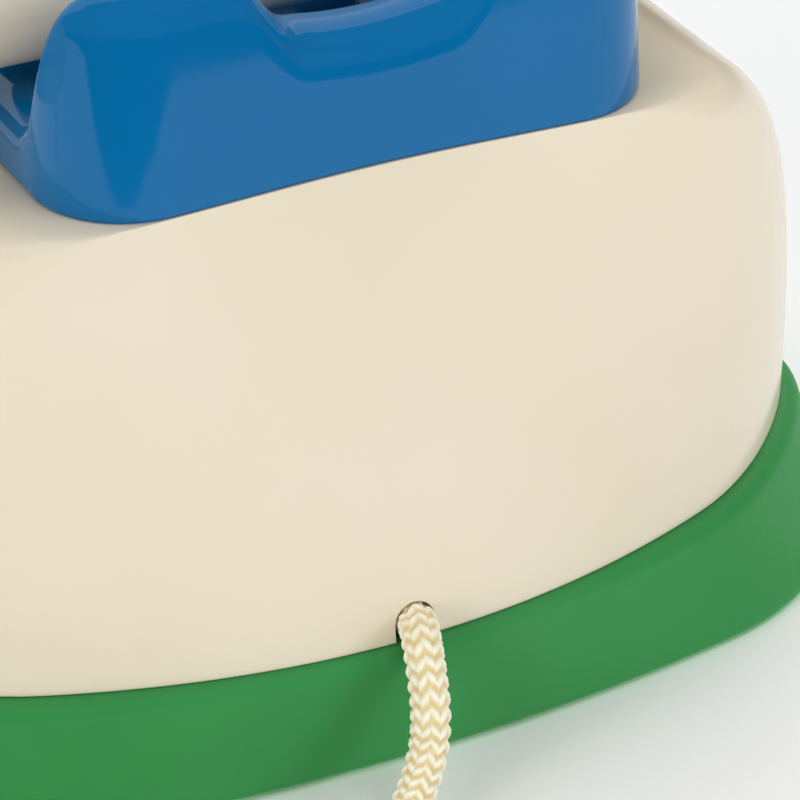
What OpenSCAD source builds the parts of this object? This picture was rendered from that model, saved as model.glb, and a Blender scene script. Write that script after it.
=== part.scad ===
// Toy telephone with a lofted housing, a cradle with four ears, a rotary dial and a corded handset
// Origin at the middle of the base, on the table; +Y is the rear, where the cord leaves; sizes in mm

/* [Base] */
// Width of the base at the table
base_w = 154; // [146:1:164]
// Depth of the base at the table
base_d = 116; // [112:1:124]
// Height of the base band
base_h = 16.3; // [15:0.1:20]
// Radius of the base corners seen from above
base_corner = 30; // [26:1:34]
// How far the rear of the base bows out between its corners
base_bow = 10.5; // [6:0.5:14]
// How far each side of the base leans in towards its top
base_lean = 2.4; // [0:0.2:4]
// Rounding of the base edge on the table
base_foot_round = 1.5; // [1:0.1:3]
// Rounding of the shoulder under the housing
base_shoulder = 1.8; // [1.2:0.1:2.4]
// Thickness of the base wall
base_wall = 3; // [2.4:0.2:3.4]
// Thickness of the base floor
base_floor = 2.5; // [2:0.1:3.5]

/* [Housing] */
// Height of the housing from the base to the cradle
housing_h = 59.2; // [56:0.2:64]
// Thickness of the housing wall
housing_wall = 2.5; // [2:0.1:3]
// How far the rear of the housing bows out at the base
housing_bow = 24; // [16:1:28]
// How far the front of the housing bows out at the base
front_bow = 8; // [4:0.5:12]
// How far the rear leans in from the base to the cradle
rear_lean = 8.2; // [5:0.2:11]
// Roundness of the shoulders beside the cradle, smaller is fuller
shoulder_power = 0.3; // [0.28:0.01:0.45]
// Width of the notch for the cord
notch_w = 5.6; // [5.4:0.1:6.6]

/* [Cradle] */
// Width of the cradle
cradle_w = 76.5; // [73:0.5:84]
// Depth of the cradle
cradle_d = 52; // [50:0.5:56]
// Radius of the cradle corners
cradle_corner = 12; // [10:0.5:16]
// How far each side of the cradle leans in from the housing to the ears
cradle_lean = 1.2; // [0:0.1:2]
// Height of the ears above the housing
ear_h = 26; // [24:0.2:30]
// Height of the low rim between the ears
valley_h = 18.4; // [17:0.2:21]
// Width of the low rim
valley_w = 16; // [12:1:22]
// Width over which the rim climbs to each ear
valley_climb = 11; // [8:0.5:14]
// Height of the trough floor above the housing
trough_h = 8; // [7:0.1:9]
// Width over which each side of the trough climbs to its rim
trough_climb = 11; // [9:0.5:14]
// Thickness of each rim beside the trough
rim_w = 5.5; // [5:0.1:6]
// Rounding of the outer edges of the cradle
cradle_round = 5; // [3:0.5:6]
// Thickness of the cradle wall
cradle_wall = 2.5; // [2:0.1:3]

/* [Hook] */
// Radius of each hook button
button_r = 3.5; // [3:0.1:4]
// Distance between the hook buttons
button_pitch = 26; // [22:1:30]
// How far the buttons stand above the trough floor
button_rise = 2; // [1.6:0.1:2.4]
// Travel of the buttons
button_travel = 2; // [1.6:0.1:2.2]
// Length of the hook spring at rest
spring_len = 12; // [11:0.5:14]
// Radius of the hook spring at its wire centre
spring_r = 4; // [3.4:0.1:4.6]
// Wire radius of the hook spring
spring_wire = 0.5; // [0.4:0.05:0.6]
// Turns of the hook spring
spring_turns = 6; // [5:1:7]

/* [Dial] */
// Radius of the finger wheel
wheel_r = 31.5; // [30.5:0.1:32.5]
// Thickness of the finger wheel
wheel_t = 3; // [2.6:0.1:3.4]
// Radius of each finger hole
finger_r = 5.3; // [4.9:0.1:5.5]
// Radius of the circle of finger holes
finger_pitch_r = 23.6; // [23:0.1:24]
// Number of finger holes
finger_count = 10; // [8:1:10]
// Angle between finger holes
finger_step = 30; // [30:1:32]
// Radius of the centre cap
cap_r = 12; // [10:0.5:14]
// Height of the centre cap
cap_h = 2.6; // [2:0.1:3.4]
// Radius of the dial shaft
shaft_r = 4; // [3.6:0.1:4.4]
// Thickness of the number plate
plate_t = 1.6; // [1.2:0.1:1.8]
// Depth of the dial recess
recess_depth = 3; // [2.8:0.1:3.4]
// Thickness of the recess floor
recess_floor = 3; // [2.6:0.1:3.4]
// Teeth of the click wheel
click_teeth = 12; // [12:12:24]

/* [Handset] */
// Distance between the two cups
cup_pitch = 132; // [128:1:140]
// Radius of each cup
cup_r = 19; // [17:0.5:20]
// Radius of the handle
handle_r = 9; // [8:0.1:9.2]
// Height of each cup cap
cap_depth = 5; // [4:0.2:5.4]
// Radius of the sound holes
sound_r = 1.5; // [1.2:0.1:1.8]

/* [Cord] */
// Diameter of the cord
cord_d = 5; // [4.6:0.1:5.2]

/* [Fasteners] */
// Radius of the screw shanks
screw_r = 1.25; // [1.1:0.05:1.4]
// Radius of the screw heads
screw_head_r = 2.8; // [2.4:0.1:3]
// Height of the screw heads
screw_head_h = 2; // [1.6:0.1:2.2]

/* [Hidden] */

// Colours of the object
green = "#3f8a4b";
cream = "#e9dec8";
blue = "#1d6fae";
red = "#c8452f";
yellow = "#e9b23c";
steel = "#b9bcc0";
white = "#f1ece0";

// Clearances
running_gap = 0.05;
rest_gap = 0.3;
screw_gap = 0.1;

// Steps of the round stretches
$fn = 48;
arc_steps = 7;
long_steps = 10;
short_steps = 6;

// Levels and faces shared by the pieces
seam_z = base_h + housing_h;
housing_rear = base_d / 2 - base_shoulder;
housing_half = base_w / 2 - base_lean - base_shoulder;
cradle_rear = housing_rear - rear_lean;
cradle_front = cradle_rear - cradle_d;
cradle_y = (cradle_rear + cradle_front) / 2;
trough_z = seam_z + trough_h;
trough_w = cradle_d - 2 * rim_w;
deck_z = seam_z - housing_wall;
side_wall = housing_wall - 0.3;
base_inset = base_shoulder + base_wall;
floor_fillet = 2;
least_corner = 0.6;

// Frame of the dial on the sloped front
front_run = cradle_front + housing_rear;
dial_tilt = atan2(housing_h, front_run);
dial_y = cradle_front - front_run / 2;
dial_z = seam_z - housing_h / 2;
recess_r = wheel_r + 1.5;
pan_r = recess_r + 3.5;
pan_back = -recess_depth - recess_floor;
pan_front = -2;
plate_top = plate_t - recess_depth;
wheel_back = plate_top + 0.6;
wheel_front = wheel_back + wheel_t;
neck_r = shaft_r - 1;
neck_top = pan_back - 0.2;
click_t = 2.6;
click_back = neck_top - click_t;
click_tip_r = 14;
click_root_r = 12;
washer_t = 0.6;
stop_angle = -30;
stop_r = recess_r + 3;
stop_peg_r = 1.8;
stop_foot_r = 3;
stop_x = (stop_r - stop_foot_r) * cos(stop_angle);
stop_share = 0.5 - stop_r * sin(stop_angle) * sin(dial_tilt) / housing_h;
stop_seat = -front_bow * stop_share * pow(stop_x / housing_half_at(stop_share), 2) * sin(dial_tilt) + 0.1;
stop_peg_z = -2.2;
stop_arm = 16;
stop_half = 2;
stop_t = 1.8;
stop_gap = 0.8;
first_finger = 30;
wheel_round = 1.2;
wheel_chamfer = 0.6;
cap_edge = 0.6;
dial_screw_len = 8;
spring_anchor = [21, 12, 0];
leaf_foot = 3;
leaf_back = click_back + 0.4;
leaf_w = click_t - 0.6;

// Hook works
button_top = trough_z + button_rise;
bar_t = 2.5;
bar_top = trough_z - cradle_wall - 0.5;
bar_bottom = bar_top - bar_t;
bar_w = 9;
bar_len = button_pitch + bar_w;
bar_gap = 1;
button_round = 1;
post_core_r = spring_r - spring_wire - 0.4;
turn_steps = 10;
spring_bottom = bar_bottom - spring_len;
bracket_t = 2.5;
bracket_half = button_pitch / 2 + 15;
bracket_w = 14;
pad_h = 4;
pad_r = 4.5;
pad_z = deck_z - pad_h;

// Handset
handle_z = button_top + rest_gap + handle_r;
cup_x = cup_pitch / 2;
cup_seat_z = handle_z - handle_r + 0.8;
cap_z = cup_seat_z - cap_depth;
handset_tip = cup_x + cup_r;
sleeve_tip = handset_tip + 6;
handset_screw_x = 36;
handset_seat = 4;
cup_wall = 4;
cap_dish = 1.2;
cap_wall = 2;
sound_pitch_r = 6;
sleeve_r = cord_d / 2 + 1.5;
sleeve_in = 4;

// Screw places
base_screw_x = base_w / 2 - 12;
base_screw_y = base_d / 2 - 38;
post_r = 5;
lug_h = 9;
screw_seat_z = 7;
cradle_screw_x = cradle_w / 2 - 12.5;
cradle_screw_len = 12;
boss_end = 2;
boss_sink = 0.4;
cradle_boss_z = seam_z + cradle_screw_len + boss_end;
cradle_boss_r = screw_r + 2;
cradle_screw_y = cradle_d / 2 - cradle_wall - cradle_boss_r + boss_sink;
hole_r = screw_r + screw_gap;
free_hole_r = hole_r + 0.3;
blind_end = 0.8;
head_gap = 0.3;
slot_w = 0.7;
slot_end = 1.6;
slot_depth = 1.6;

// Route of the cord: out of the notch, down to the table, round the corner and up to the sleeve
notch_z = base_h + notch_w / 2 - 0.2;
cord_rest = cord_d / 2 + 0.2;
cord_side = sleeve_tip + 11;
cord_climb = handle_z - cord_rest;
cord_exit = [for (p = [[0, -2.6, 0], [0, 0.2, 0], [0.8, 2.6, -0.2], [1.6, 5, -1.2], [2.5, 7.8, -3.6]])
    [0, housing_rear, notch_z] + p];
cord_fall = [for (p = [[3.1, 9.6, 0.62], [4, 11, 0.41], [6, 12.8, 0.22], [8.8, 15.2, 0.09],
    [12.4, 18.4, 0.02]])
    [p.x, housing_rear + p.y, cord_rest + p.z * (notch_z - cord_rest)]];
cord_lie = [for (p = [[0.17, 21.3], [0.24, 24.3], [0.35, 26.8], [0.49, 26.8], [0.63, 23.3], [0.755, 15.8],
    [0.863, 4.8], [0.941, -8.2]]) [p.x * cord_side, housing_rear + p.y, cord_rest]];
cord_rise = [for (p = [[-1.5, 14, 0.02], [0, 6, 0.075], [0.3, 2, 0.165], [0.2, 0.4, 0.316], [0, 0, 0.49],
    [-0.2, 0, 0.66], [-0.4, 0, 0.81], [-1.2, 0, 0.9], [-3.4, 0, 0.96], [-6, 0, 0.99], [-8.4, 0, 1],
    [-11, 0, 1]])
    [cord_side + p.x, cradle_y + p.y, cord_rest + p.z * cord_climb]];
cord_route = concat(cord_exit, cord_fall, cord_lie, cord_rise);
cord_sides = 10;
knot_r = 4.2;
knot_gap = 0.1;

// Smooth step with flat ends
function ease(s) = let (c = min(1, max(0, s))) c * c * c * (c * (6 * c - 15) + 10);
function unit(v) = v / norm(v);
function sum(values) = values * [for (value = values) 1];

// Points of a quarter circle
function corner_arc(x, y, r, start) =
    [for (i = [0:arc_steps])
        let (a = start + 90 * i / arc_steps)
        [x + r * cos(a), y + r * sin(a)]];

// Points between two corners, without the corners
function between(a, b, steps) = [for (i = [1:1:steps - 1]) a + (b - a) * i / steps];

// Rounded rectangle whose rear and front sides bow out towards their middle
function outline(half_w, rear, front, corner, bow_rear, bow_front) =
    let (
        x = half_w - corner,
        high = rear - corner,
        low = front + corner,
        middle = (rear + front) / 2,
        half_d = (rear - front) / 2,
        raw = concat(
            corner_arc(x, high, corner, 0),
            between([x, rear], [-x, rear], long_steps),
            corner_arc(-x, high, corner, 90),
            between([-half_w, high], [-half_w, low], short_steps),
            corner_arc(-x, low, corner, 180),
            between([-x, front], [x, front], long_steps),
            corner_arc(x, low, corner, 270),
            between([half_w, low], [half_w, high], short_steps)))
    [for (p = raw)
        let (q = (p.y - middle) / half_d, bow = q > 0 ? bow_rear : bow_front)
        [p.x, p.y - q * bow * pow(p.x / half_w, 2)]];

// Lifts an outline to a level
function at_level(ring, z) = [for (p = ring) [p.x, p.y, z]];

// Closed skin over rings of equal count, from the first ring to the last, with a fan over each end
module loft(rings) {
    n = len(rings[0]);
    last = len(rings) - 1;
    first_hub = n * (last + 1);
    hubs = [for (ring = [rings[0], rings[last]]) [for (axis = [0:2]) sum([for (p = ring) p[axis]]) / n]];
    sides = [for (k = [0:last - 1], i = [0:n - 1])
        let (a = k * n + i, b = k * n + (i + 1) % n)
        each [[a, a + n, b + n], [a, b + n, b]]];
    ends = [for (i = [0:n - 1])
        let (next = (i + 1) % n)
        each [[i, next, first_hub], [last * n + next, last * n + i, first_hub + 1]]];
    points = concat([for (ring = rings) each ring], hubs);
    polyhedron(points = points, faces = concat(sides, ends), convexity = 6);
}

// Rings of a round tube along a route, carried without twist
function tangents(route) = [for (i = [0:len(route) - 1])
    unit(route[min(i + 1, len(route) - 1)] - route[max(i - 1, 0)])];
function carried(along, i, side) = i == len(along) ? [] :
    let (next = unit(side - along[i] * (side * along[i])))
    concat([next], carried(along, i + 1, next));
function tube_rings(route, r, sides, side) =
    let (along = tangents(route), across = carried(along, 0, side))
    [for (i = [0:len(route) - 1])
        let (u = across[i], v = cross(along[i], u))
        [for (k = [0:sides - 1]) route[i] + r * (u * cos(360 * k / sides) + v * sin(360 * k / sides))]];

// Level of the base, share is 0 at the table and 1 at the top
function base_ring(z, inset) =
    let (share = z / base_h)
    at_level(outline(base_w / 2 - base_lean * share - inset, base_d / 2 - inset, inset - base_d / 2,
        base_corner - inset, base_bow + (housing_bow - base_bow) * share, front_bow), z);

// Half breadth of the housing at a level
function housing_half_at(share) = cradle_w / 2 + (housing_half - cradle_w / 2) * pow(share, shoulder_power);

// Level of the housing, share is 0 at the cradle and 1 at the base, for its outside or its inside
function housing_ring(share, inset, drop) =
    at_level(outline(
        housing_half_at(share) - inset,
        cradle_rear + rear_lean * share - inset,
        cradle_front - front_run * share + inset,
        cradle_corner + (base_corner - base_shoulder - cradle_corner) * share - inset / 2,
        housing_bow * share, front_bow * share), seam_z - housing_h * share - drop);

// Top of the cradle over a place, from the trough up to the rims and ears
function cradle_top(p) =
    let (
        rim_h = valley_h + (ear_h - valley_h) * ease((abs(p.x) - valley_w / 2) / valley_climb),
        climb = ease(1 + (abs(p.y - cradle_y) - trough_w / 2) / trough_climb))
    seam_z + trough_h + (rim_h - trough_h) * climb;
function cradle_outline(inset) =
    outline(cradle_w / 2 - inset, cradle_rear - inset, cradle_front + inset,
        max(cradle_corner - inset, least_corner), 0, 0);
function round_drop(inset) =
    let (c = max(cradle_round - inset, 0)) cradle_round - sqrt(cradle_round * cradle_round - c * c);
function leaned(p) =
    let (lean = cradle_lean * (p.z - seam_z) / ear_h)
    [p.x * (1 - 2 * lean / cradle_w), cradle_y + (p.y - cradle_y) * (1 - 2 * lean / cradle_d), p.z];
function cradle_ring(inset, drop, lowest) =
    [for (p = cradle_outline(inset)) leaned([p.x, p.y, max(cradle_top(p) - drop, lowest)])];

// Places a piece in the frame of the dial, with its axis out of the sloped front
module on_dial() {
    translate([0, dial_y, dial_z]) rotate([dial_tilt, 0, 0]) children();
}

// Round bar between two heights
module rod(r, low, high) {
    translate([0, 0, low]) cylinder(r = r, h = high - low);
}

// Screw whose head starts at a height and whose shank rises from it
module screw(head_z, shank_len) {
    difference() {
        rod(screw_head_r, head_z, head_z + screw_head_h);
        for (turn = [0, 90]) translate([0, 0, head_z]) rotate(turn)
            cube([slot_w, 2 * screw_head_r - slot_end, slot_depth], center = true);
    }
    rod(screw_r, head_z + screw_head_h, head_z + screw_head_h + shank_len);
}

// Copies a piece to four places mirrored about a centre
module four(x, y) {
    for (sx = [-1, 1], sy = [-1, 1]) translate([sx * x, sy * y, 0]) children();
}

// Base in one skin: up the outside from the table, over the shoulder and down to the floor inside
module base_tray() color(green) difference() {
    union() {
        loft(concat(
            [for (a = [0:30:90]) base_ring(base_foot_round * (1 - cos(a)), base_foot_round * (1 - sin(a)))],
            [for (a = [0:30:90])
                base_ring(base_h - base_shoulder * (1 - sin(a)), base_shoulder * (1 - cos(a)))],
            [base_ring(base_h, base_inset), base_ring(base_floor + floor_fillet, base_inset),
                base_ring(base_floor, base_inset + floor_fillet)]));
        four(base_screw_x, base_screw_y) rod(post_r, base_floor / 2, base_h);
    }
    four(base_screw_x, base_screw_y) {
        rod(free_hole_r, -1, base_h + 1);
        rod(screw_head_r + head_gap, -1, screw_seat_z);
    }
}

// Arched notch for the cord in the rear edge of the housing
module housing_notch() {
    translate([0, housing_rear + 6, 0]) rotate([90, 0, 0]) linear_extrude(16) polygon(concat(
        [[-notch_w / 2, base_h - 2], [notch_w / 2, base_h - 2]],
        [for (a = [0:15:180]) [notch_w / 2 * cos(a), notch_z + notch_w / 2 * sin(a)]]));
}

// Housing in one skin: down the inside from the deck, across the lower rim and up the outside
module housing_skin() {
    levels = [for (u = [0:0.1:1]) u * u];
    lower_rim = (housing_h - housing_wall) / housing_h;
    inside = [for (share = concat([for (level = levels) if (level < lower_rim) level], [lower_rim]))
        housing_ring(share, side_wall, housing_wall)];
    outside = [for (i = [len(levels) - 1:-1:0]) housing_ring(levels[i], 0, 0)];
    loft(concat(inside, outside));
}

module body_shell() color(cream) difference() {
    union() {
        housing_skin();
        on_dial() rod(pan_r, pan_back, pan_front);
        four(base_screw_x, base_screw_y) rod(post_r, base_h, base_h + lug_h);
        for (sx = [-1, 1]) translate([sx * bracket_half, cradle_y, 0]) rod(pad_r, pad_z, deck_z + 1);
    }
    on_dial() {
        rod(recess_r, -recess_depth, wheel_r);
        rod(shaft_r + running_gap, pan_back - 1, 0);
        translate(spring_anchor) rod(hole_r, pan_back - 1, -recess_depth - blind_end);
        rotate(stop_angle) translate([stop_r, 0, 0])
            rod(stop_peg_r + running_gap, stop_peg_z - 0.2, wheel_front);
    }
    four(base_screw_x, base_screw_y) rod(hole_r, base_h - 1, base_h + lug_h - 1);
    translate([0, cradle_y, 0]) {
        four(cradle_screw_x, cradle_screw_y) rod(free_hole_r, deck_z - 1, seam_z + 1);
        for (sx = [-1, 1]) translate([sx * bracket_half, 0, 0]) rod(hole_r, pad_z - 1, seam_z - blind_end);
        translate([-bar_len / 2 - bar_gap, -bar_w / 2 - bar_gap, deck_z - 1])
            cube([bar_len + 2 * bar_gap, bar_w + 2 * bar_gap, housing_wall + 2]);
    }
    housing_notch();
}

// Cradle in one skin: out along the underside, across the lower rim and up over the ears into the trough
module cradle_skin() {
    foot = [for (inset = [cradle_wall, 0]) at_level(cradle_outline(inset), seam_z)];
    middle = cradle_d / 2 - 1;
    inside = [for (i = [8:-1:0])
        let (inset = (middle - cradle_wall) * i / 8)
        cradle_ring(cradle_wall + inset, cradle_wall + round_drop(inset), seam_z + 0.5)];
    rounded = [for (a = [0:18:90]) cradle_round * (1 - cos(a))];
    across = [for (i = [1:10]) cradle_round + (middle - cradle_round) * i / 10];
    outside = [for (inset = concat(rounded, across)) cradle_ring(inset, round_drop(inset), seam_z + 1)];
    loft(concat(inside, foot, outside));
}

module cradle_housing() color(blue) difference() {
    union() {
        cradle_skin();
        translate([0, cradle_y, 0]) four(cradle_screw_x, cradle_screw_y)
            rod(cradle_boss_r, seam_z, cradle_boss_z);
    }
    translate([0, cradle_y, 0]) {
        four(cradle_screw_x, cradle_screw_y) rod(hole_r, seam_z - 1, seam_z + cradle_screw_len - 1);
        for (sx = [-1, 1]) translate([sx * button_pitch / 2, 0, 0])
            rod(button_r + running_gap, seam_z - 1, button_top + 1);
    }
}

module hook_bar() color(white) translate([0, cradle_y, 0]) {
    translate([-bar_len / 2, -bar_w / 2, bar_bottom]) cube([bar_len, bar_w, bar_t]);
    for (sx = [-1, 1]) translate([sx * button_pitch / 2, 0, 0]) rotate_extrude() polygon(concat(
        [[0, bar_bottom + 1], [button_r, bar_bottom + 1], [button_r, button_top - button_round]],
        [for (a = [15:15:90])
            [button_r + button_round * (cos(a) - 1), button_top + button_round * (sin(a) - 1)]],
        [[0, button_top]]));
}

module hook_spring() color(steel) translate([0, cradle_y, 0]) {
    start_z = spring_bottom + spring_wire + running_gap;
    climb = spring_len - 2 * (spring_wire + running_gap);
    steps = spring_turns * turn_steps;
    route = [for (i = [0:steps])
        let (a = 360 * i / turn_steps)
        [spring_r * cos(a), spring_r * sin(a), start_z + climb * i / steps]];
    loft(tube_rings(route, spring_wire, 6, [0, 0, 1]));
}

module spring_bracket() color(steel) translate([0, cradle_y, 0]) difference() {
    union() {
        translate([-bracket_half - pad_r, -bracket_w / 2, spring_bottom - bracket_t])
            cube([2 * (bracket_half + pad_r), bracket_w, bracket_t]);
        for (sx = [-1, 1]) translate([sx * bracket_half, 0, 0]) rod(pad_r, spring_bottom - 1, pad_z);
        rod(post_core_r, spring_bottom - 1, bar_bottom - button_travel - stop_gap);
    }
    for (sx = [-1, 1]) translate([sx * bracket_half, 0, 0])
        rod(hole_r, spring_bottom - bracket_t - 1, pad_z + 1);
}

module bracket_screws() color(steel) for (sx = [-1, 1]) translate([sx * bracket_half, cradle_y, 0])
    screw(spring_bottom - bracket_t - screw_head_h, pad_z + pad_h - spring_bottom + bracket_t);

module dial_plate() color(white) on_dial() difference() {
    rod(recess_r - running_gap, -recess_depth, plate_top);
    rod(shaft_r + running_gap, -recess_depth - 1, plate_top + 1);
}

module finger_wheel() color(red) on_dial() difference() {
    union() {
        rotate_extrude($fn = 96) polygon(concat(
            [[0, wheel_back], [wheel_r - wheel_chamfer, wheel_back], [wheel_r, wheel_back + wheel_chamfer]],
            [for (a = [0:15:90])
                [wheel_r + wheel_round * (cos(a) - 1), wheel_front + wheel_round * (sin(a) - 1)]],
            [[0, wheel_front]]));
        rod(shaft_r, neck_top, wheel_back + 1);
        rod(neck_r, click_back, wheel_back + 1);
    }
    for (i = [0:finger_count - 1]) rotate(first_finger + finger_step * i) translate([finger_pitch_r, 0, 0])
        rod(finger_r, wheel_back - 1, wheel_front + 1);
    rod(hole_r, click_back - 1, click_back + dial_screw_len);
}

module dial_cap() color(yellow) on_dial() rotate_extrude($fn = 72) polygon(concat(
    [[0, wheel_front], [cap_r, wheel_front]],
    [for (a = [90:-9:0]) [cap_r * sin(a), wheel_front + cap_edge + (cap_h - cap_edge) * cos(a)]]));

module click_wheel() color(white) on_dial() difference() {
    middle_r = (click_tip_r + click_root_r) / 2;
    tooth_h = (click_tip_r - click_root_r) / 2;
    steps = click_teeth * 8;
    translate([0, 0, click_back]) linear_extrude(click_t) polygon([for (i = [0:steps - 1])
        let (a = 360 * i / steps)
        (middle_r - tooth_h * cos(click_teeth * a)) * [cos(a), sin(a)]]);
    rod(neck_r + running_gap, click_back - 1, neck_top + 1);
}

module dial_washer() color(steel) on_dial() difference() {
    rod(shaft_r + 1, click_back - washer_t, click_back);
    rod(hole_r, click_back - washer_t - 1, click_back + 1);
}

module dial_screw() color(steel) on_dial() screw(click_back - washer_t - screw_head_h, dial_screw_len);

// Leaf with its foot under the recess floor and its bent tip between two teeth
module click_spring() color(steel) on_dial() difference() {
    union() {
        translate([spring_anchor.x - leaf_foot, spring_anchor.y - leaf_foot, leaf_back])
            cube([2 * leaf_foot, 2 * leaf_foot, pan_back - leaf_back]);
        translate([0, 0, leaf_back]) linear_extrude(leaf_w) polygon([
            [spring_anchor.x - leaf_foot, spring_anchor.y - 2],
            [spring_anchor.x - leaf_foot, spring_anchor.y - leaf_foot],
            [click_root_r + 1.8, 1.3], [click_root_r + 0.4, 0], [click_root_r + 1.6, -1.2],
            [click_root_r + 3, -1.2], [click_root_r + 3, 0.9],
            [spring_anchor.x - 1, spring_anchor.y - leaf_foot],
            [spring_anchor.x - 1, spring_anchor.y - 2]]);
    }
    translate(spring_anchor) rod(hole_r, click_back, pan_back + 1);
}

module click_spring_screw() color(steel) on_dial() translate(spring_anchor)
    screw(leaf_back - screw_head_h, pan_back - leaf_back + recess_floor - 2 * blind_end);

module finger_stop() color(steel) on_dial() rotate(stop_angle) {
    arm_back = wheel_front + stop_gap;
    translate([stop_r, 0, 0]) {
        rod(stop_peg_r, stop_peg_z, arm_back);
        rod(stop_foot_r, stop_seat, arm_back + stop_t);
    }
    translate([stop_r - stop_arm, -stop_half, arm_back]) cube([stop_arm, 2 * stop_half, stop_t]);
    translate([stop_r - stop_arm, 0, 0]) rod(stop_half, arm_back, arm_back + stop_t);
}

// Half breadth of the handle and a cup run together
function blended(cup_half) = pow(pow(handle_r, 4) + pow(cup_half, 4), 1 / 4);

// Half breadth of the handset at a place along it
function handset_half(x) =
    let (q = (abs(x) - cup_x) / cup_r, disc = sqrt(max(0, 1 - q * q)))
    q < 0 ? blended(cup_r * disc) : blended(cup_r) * disc;

// Height of the handset above or below its parting line, with domed tops and full skirts at the cups
function handset_height(x, power) =
    let (q = max(0, (abs(x) - cup_x) / cup_r)) handle_r * pow(max(0, 1 - q * q), power);
function bulged(value, power) = sign(value) * pow(abs(value), power);
function handset_ring(x) =
    let (half = handset_half(x), cup = ease((half - handle_r) / (cup_r - handle_r) * 1.4))
    [for (a = [0:15:345])
        let (
            below = a > 180,
            power = below ? 1 - 0.75 * cup : 1,
            rise = handset_height(x, below ? 0.1 : 0.35))
        [x, cradle_y + half * bulged(cos(a), power), handle_z + rise * bulged(sin(a), power)]];
handset_stations = let (
    half = concat([20, 38, 43], [for (a = [-75:15:75]) cup_x + cup_r * sin(a)], [cup_x + cup_r * sin(88)]))
    concat([for (i = [len(half) - 1:-1:0]) -half[i]], [0], half);
module handset_volume() {
    loft([for (x = handset_stations) handset_ring(x)]);
}
module along_handset() {
    translate([0, cradle_y, handle_z]) rotate([0, 90, 0]) children();
}
module handset_hollow() {
    along_handset() rod(handle_r - 3.2, 6 - handset_screw_x, handset_screw_x - 6);
    for (sx = [-1, 1]) translate([sx * cup_x, cradle_y, 0])
        rod(cup_r - cup_wall, cup_seat_z - cup_wall, handle_z + handle_r - cup_wall);
}
module handset_sleeve_bore() {
    along_handset() rod(sleeve_r + running_gap, cup_x, handset_tip + 2);
}

module handset_upper_shell() color(cream) difference() {
    intersection() {
        handset_volume();
        translate([-handset_tip - 5, cradle_y - 30, handle_z]) cube([2 * handset_tip + 10, 60, 40]);
    }
    handset_hollow();
    handset_sleeve_bore();
    for (sx = [-1, 1]) translate([sx * handset_screw_x, cradle_y, 0])
        rod(hole_r, handle_z - 1, handle_z + handle_r - 3);
}

module handset_lower_shell() color(cream) difference() {
    intersection() {
        handset_volume();
        translate([-handset_tip - 5, cradle_y - 30, handle_z - 40]) cube([2 * handset_tip + 10, 60, 40]);
    }
    handset_hollow();
    handset_sleeve_bore();
    for (sx = [-1, 1]) {
        translate([sx * cup_x, cradle_y, 0]) rod(cup_r + 2, cup_seat_z - 10, cup_seat_z);
        translate([sx * handset_screw_x, cradle_y, 0]) {
            rod(hole_r, handle_z - handle_r - 1, handle_z + 1);
            rod(screw_head_r + head_gap, handle_z - handle_r - 1, handle_z - handset_seat);
        }
    }
}

// Cap of a cup, a dished disc with its sound holes
module cup_cap() translate([0, cradle_y, 0]) difference() {
    rotate_extrude($fn = 72) polygon([
        [0, cap_z + cap_dish], [cup_r - cup_wall - 3, cap_z + cap_dish], [cup_r - cup_wall, cap_z],
        [cup_r - cap_dish, cap_z], [cup_r, cap_z + cap_dish], [cup_r, cup_seat_z],
        [cup_r - cup_wall, cup_seat_z],
        [cup_r - cup_wall, cap_z + cap_dish + cap_wall], [0, cap_z + cap_dish + cap_wall]]);
    rod(sound_r, cap_z - 1, cup_seat_z);
    for (i = [0:5]) rotate(60 * i) translate([sound_pitch_r, 0, 0]) rod(sound_r, cap_z - 1, cup_seat_z);
}
module earpiece_cap() color(cream) translate([-cup_x, 0, 0]) cup_cap();
module mouthpiece_cap() color(cream) translate([cup_x, 0, 0]) cup_cap();

module handset_screws() color(steel) for (sx = [-1, 1]) translate([sx * handset_screw_x, cradle_y, 0])
    screw(handle_z - handset_seat - screw_head_h, handle_r - 2);

module cord_sleeve() color(yellow) along_handset() {
    rod(sleeve_r, handset_tip - sleeve_in, handset_tip + 1);
    translate([0, 0, handset_tip + 1])
        cylinder(r1 = sleeve_r, r2 = sleeve_r - 1, h = sleeve_tip - handset_tip - 1);
}

module handset_knot() color(cream) along_handset()
    translate([0, 0, handset_tip - sleeve_in - knot_gap - knot_r]) sphere(r = knot_r);

module base_knot() color(cream) translate([0, cord_route[0].y - knot_gap - knot_r, cord_route[0].z])
    sphere(r = knot_r);

module handset_cord() color(cream) loft(tube_rings(cord_route, cord_d / 2, cord_sides, [0, 0, 1]));

module base_screws() color(steel) four(base_screw_x, base_screw_y)
    screw(screw_seat_z - screw_head_h, base_h - screw_seat_z + lug_h - 2);

module cradle_screws() color(steel) translate([0, cradle_y, 0]) four(cradle_screw_x, cradle_screw_y)
    screw(deck_z - screw_head_h, cradle_screw_len);

base_tray();
body_shell();
cradle_housing();
hook_bar();
hook_spring();
spring_bracket();
bracket_screws();
dial_plate();
finger_wheel();
dial_cap();
click_wheel();
dial_washer();
dial_screw();
click_spring();
click_spring_screw();
finger_stop();
handset_upper_shell();
handset_lower_shell();
earpiece_cap();
mouthpiece_cap();
handset_screws();
cord_sleeve();
handset_knot();
base_knot();
handset_cord();
base_screws();
cradle_screws();
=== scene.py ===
"""Looks of the toy telephone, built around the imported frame. Lengths are in mm until a mesh is made."""

import math

import bpy
import numpy as np
from mathutils import Matrix, Vector


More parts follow.
